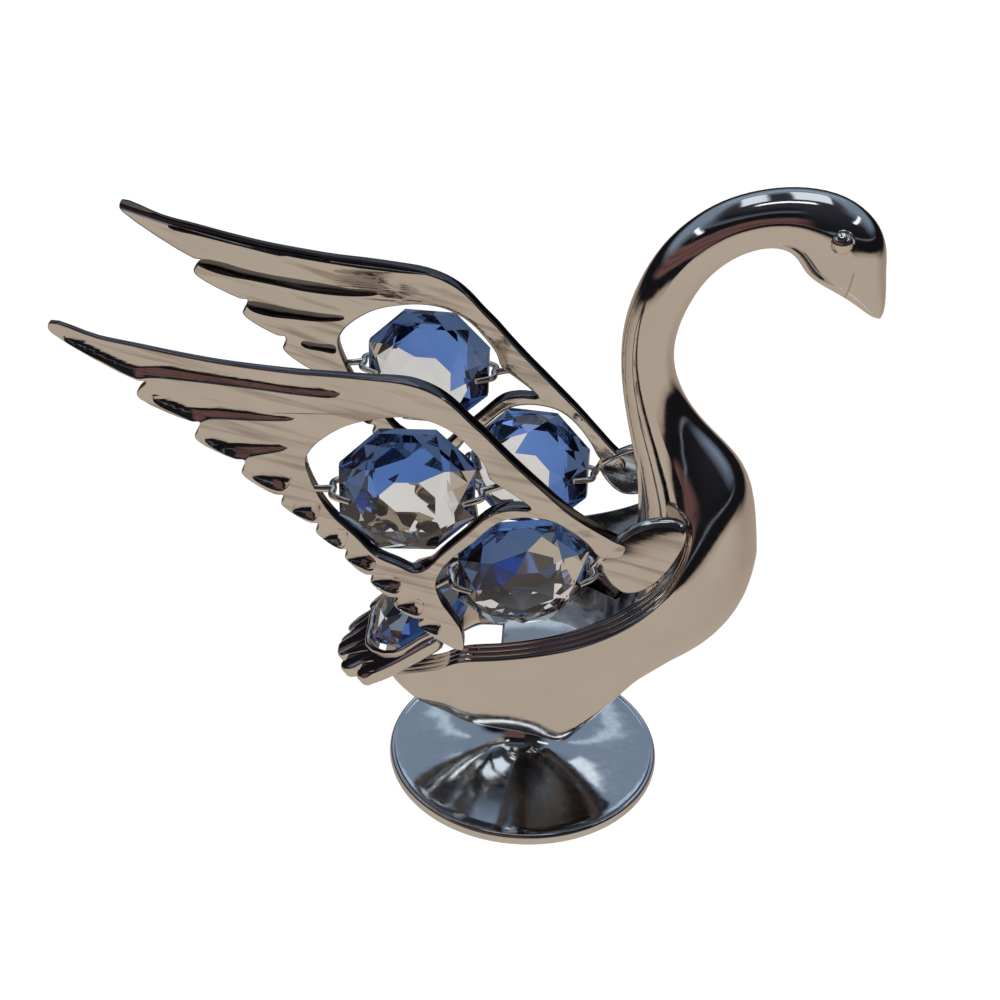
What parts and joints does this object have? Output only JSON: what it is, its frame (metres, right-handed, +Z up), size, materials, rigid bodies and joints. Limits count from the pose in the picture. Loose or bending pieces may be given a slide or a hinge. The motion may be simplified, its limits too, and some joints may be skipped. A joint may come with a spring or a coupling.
{
  "type": "swan figurine",
  "caption": "Plated metal swan figurine on a round flared foot, with raised feathered wings and a fanned tail that hold octagonal faceted blue glass stones.",
  "frame": {"origin": "centre of the foot's flat round underside", "axes": "+Z up, +X the swan's forward, +Y the swan's left; the part is mirror-symmetric across the plane Y = 0"},
  "size_m": [0.0808, 0.0328, 0.0737],
  "materials": {
    "foot_metal": "mirror-bright plating",
    "body_metal": "mirror-bright plating",
    "wing_right_metal": "mirror-bright plating",
    "wing_left_metal": "mirror-bright plating",
    "tail_metal": "mirror-bright plating",
    "stone_right_upper": "clear, cut facets",
    "stone_right_lower": "clear, cut facets",
    "stone_left_upper": "clear, cut facets",
    "stone_left_lower": "clear, cut facets",
    "stone_tail": "clear, cut facets"
  },
  "bodies": {
    "root": {"foot": "foot_metal", "body": "body_metal", "wing_right": "wing_right_metal", "wing_left": "wing_left_metal", "tail": "tail_metal", "crystal_right_upper": "stone_right_upper", "crystal_right_lower": "stone_right_lower", "crystal_left_upper": "stone_left_upper", "crystal_left_lower": "stone_left_lower", "crystal_tail": "stone_tail"}
  },
  "joints": []
}
